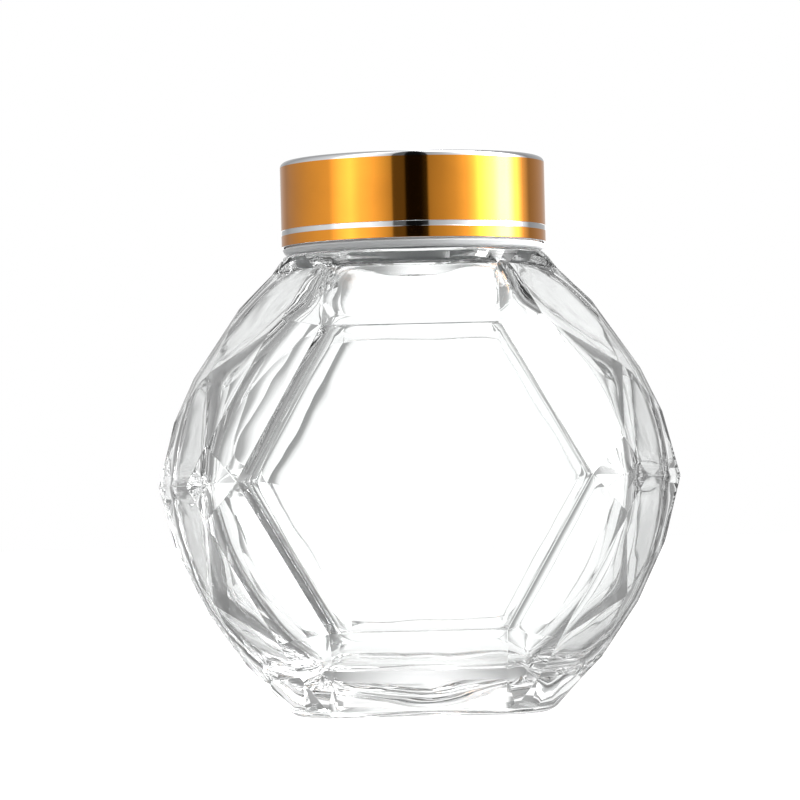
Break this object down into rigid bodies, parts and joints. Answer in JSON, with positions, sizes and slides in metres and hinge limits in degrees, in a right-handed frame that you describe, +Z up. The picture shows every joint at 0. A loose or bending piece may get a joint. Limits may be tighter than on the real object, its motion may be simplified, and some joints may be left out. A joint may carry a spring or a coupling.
{
  "type": "hexagonal honey jar",
  "caption": "Empty clear glass honey jar with flat hexagonal windows front and back, a gem-cut faceted rim, a foot and a round gold screw cap.",
  "frame": {"origin": "centre of the foot's underside, below the neck's axis", "axes": "+Z up along the neck's axis, -Y out of the front window, +X to the right seen from the front"},
  "size_m": [0.088, 0.064, 0.093],
  "materials": {
    "clear_glass": "clear polished soda-lime glass, colourless",
    "gold_anodised_aluminium": "polished aluminium anodised orange gold, with a bright-cut silver stripe and a bright-cut silver top edge",
    "pale_plastic": "pale, slightly translucent moulded plastic"
  },
  "bodies": {
    "root": {"glass_jar": "clear_glass", "cap_shell": "gold_anodised_aluminium", "cap_insert": "pale_plastic"}
  },
  "joints": []
}
